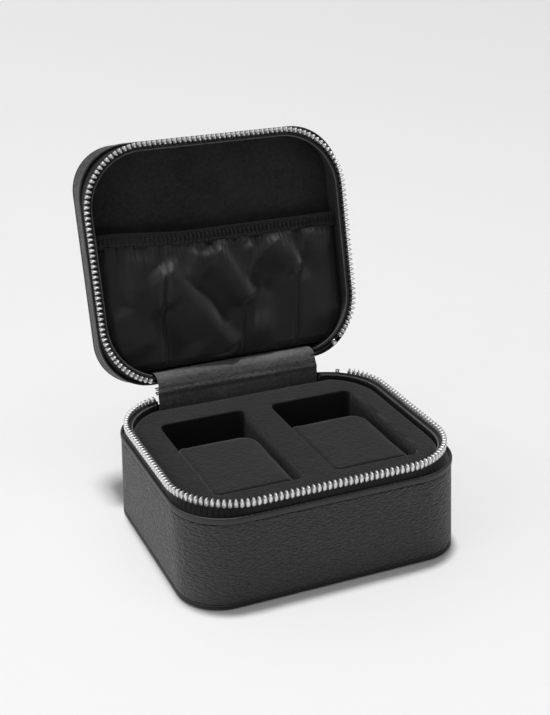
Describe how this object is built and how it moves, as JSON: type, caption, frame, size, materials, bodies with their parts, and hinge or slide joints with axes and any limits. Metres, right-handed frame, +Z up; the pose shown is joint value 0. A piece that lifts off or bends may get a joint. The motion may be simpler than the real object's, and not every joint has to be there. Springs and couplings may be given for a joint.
{
  "type": "watch travel case",
  "caption": "Zip-around travel case with a hinged lid, an insert with wells and lift-out cushions for watches, and a gathered elastic pocket in the lid.",
  "frame": {"origin": "centre of the underside of the base, on the surface it stands on", "axes": "+X to the right along the hinge, +Y from the open front towards the hinge, +Z up; drawn with the lid wide open"},
  "size_m": [0.15, 0.1776, 0.1902],
  "materials": {
    "leather": "pebbled grain, soft sheen",
    "binding": "smooth edge binding",
    "spine_leather": "pebbled grain",
    "board": "pressed fibre board",
    "tape": "woven tape",
    "teeth": "satin plated",
    "hardware": "polished",
    "suede": "brushed microsuede",
    "cushion_suede": "brushed microsuede over foam",
    "lid_suede": "brushed microsuede",
    "pocket_fabric": "gathered woven cloth",
    "elastic": "woven elastic"
  },
  "bodies": {
    "base": {"base_bottom_panel": "leather", "base_piping": "binding", "base_board": "board", "base_leather_wall": "leather", "base_binding": "binding", "base_zip_tape": "tape", "base_zip_teeth": "teeth", "base_top_stop": "hardware", "base_liner": "suede", "base_floor_lining": "suede", "watch_insert": "suede", "hinge_spine": "spine_leather", "hinge_flap": "suede", "zip_end_teeth": "teeth", "zip_end_stop": "hardware", "zip_slider": "hardware"},
    "lid": {"lid_board": "board", "lid_leather_wall": "leather", "lid_binding": "binding", "lid_piping": "binding", "lid_top_panel": "leather", "lid_zip_tape": "tape", "lid_zip_teeth": "teeth", "lid_top_stop": "hardware", "lid_liner": "lid_suede", "lid_panel_lining": "lid_suede", "pocket_cloth": "pocket_fabric", "pocket_elastic": "elastic"},
    "zip_pull_link": {"zip_pull_link": "hardware"},
    "zip_pull": {"zip_pull": "hardware"},
    "watch_cushion_left": {"watch_cushion_left": "cushion_suede"},
    "watch_cushion_right": {"watch_cushion_right": "cushion_suede"}
  },
  "joints": [
    {"name": "lid_hinge", "type": "hinge", "parent": "base", "child": "lid", "pos_m": [0, 0.06485, 0.0631], "axis": [-1, 0, 0], "range_deg": [-104.4, 0]},
    {"name": "link_swing", "type": "hinge", "parent": "base", "child": "zip_pull_link", "pos_m": [-0.0392, 0.0678, 0.0579], "axis": [1, 0, 0], "range_deg": [0, 80]},
    {"name": "pull_swing", "type": "hinge", "parent": "zip_pull_link", "child": "zip_pull", "pos_m": [-0.0392, 0.0678, 0.0509], "axis": [-1, 0, 0], "range_deg": [-60, 5]},
    {"name": "left_cushion_lift", "type": "slide", "parent": "base", "child": "watch_cushion_left", "axis": [0, 0, 1], "range_m": [0, 0.0488]},
    {"name": "right_cushion_lift", "type": "slide", "parent": "base", "child": "watch_cushion_right", "axis": [0, 0, 1], "range_m": [0, 0.0488]}
  ]
}
